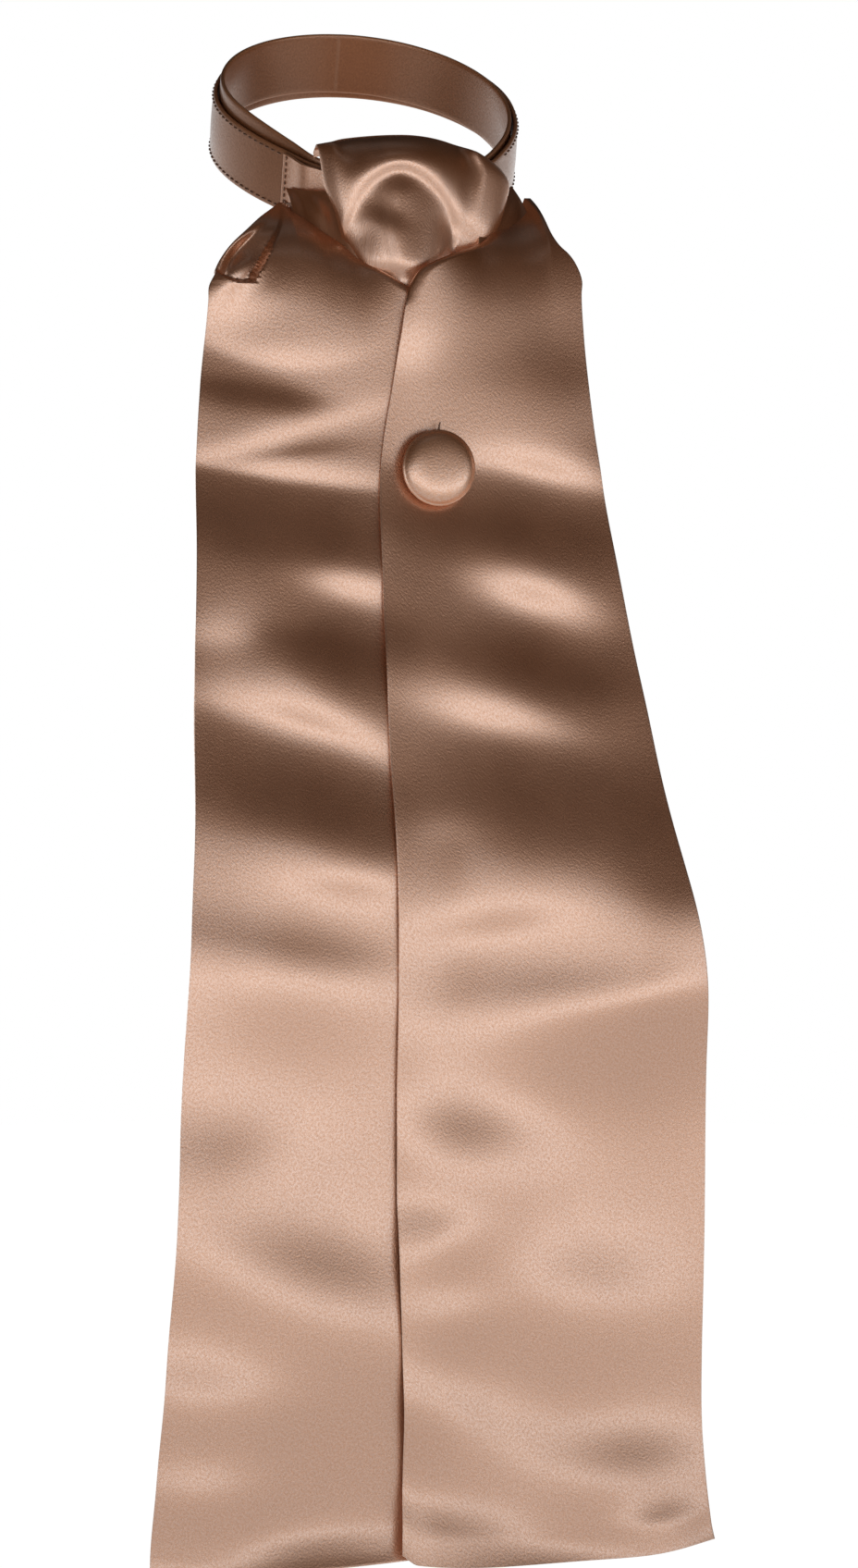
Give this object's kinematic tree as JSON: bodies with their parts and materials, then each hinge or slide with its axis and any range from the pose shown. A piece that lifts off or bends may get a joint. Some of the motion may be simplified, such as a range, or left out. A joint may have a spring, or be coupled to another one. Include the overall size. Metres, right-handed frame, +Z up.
{
  "type": "cravat",
  "caption": "Worn satin cravat: a strap wound twice round the neck, a puffed knot, broad overlapping tails hanging to straight hems and a cloth-covered button.",
  "frame": {"origin": "on the neck's axis, at the middle height of the strap's loop", "axes": "+Z up along the neck; -Y is the front, where the knot and tails are; +X is the right-hand side as seen from the front"},
  "size_m": [0.2065, 0.1802, 0.5406],
  "materials": {
    "strap_satin": "satin",
    "satin": "satin",
    "button_satin": "satin",
    "thread": "matt thread"
  },
  "bodies": {
    "root": {"neck_strap_inner_turn": "strap_satin", "neck_strap_outer_turn": "strap_satin", "knot_puff": "satin", "left_wrap": "satin", "knot_tuck": "satin", "right_wrap": "satin", "left_tail": "satin", "right_tail": "satin", "covered_button": "button_satin", "button_shank": "thread"}
  },
  "joints": []
}
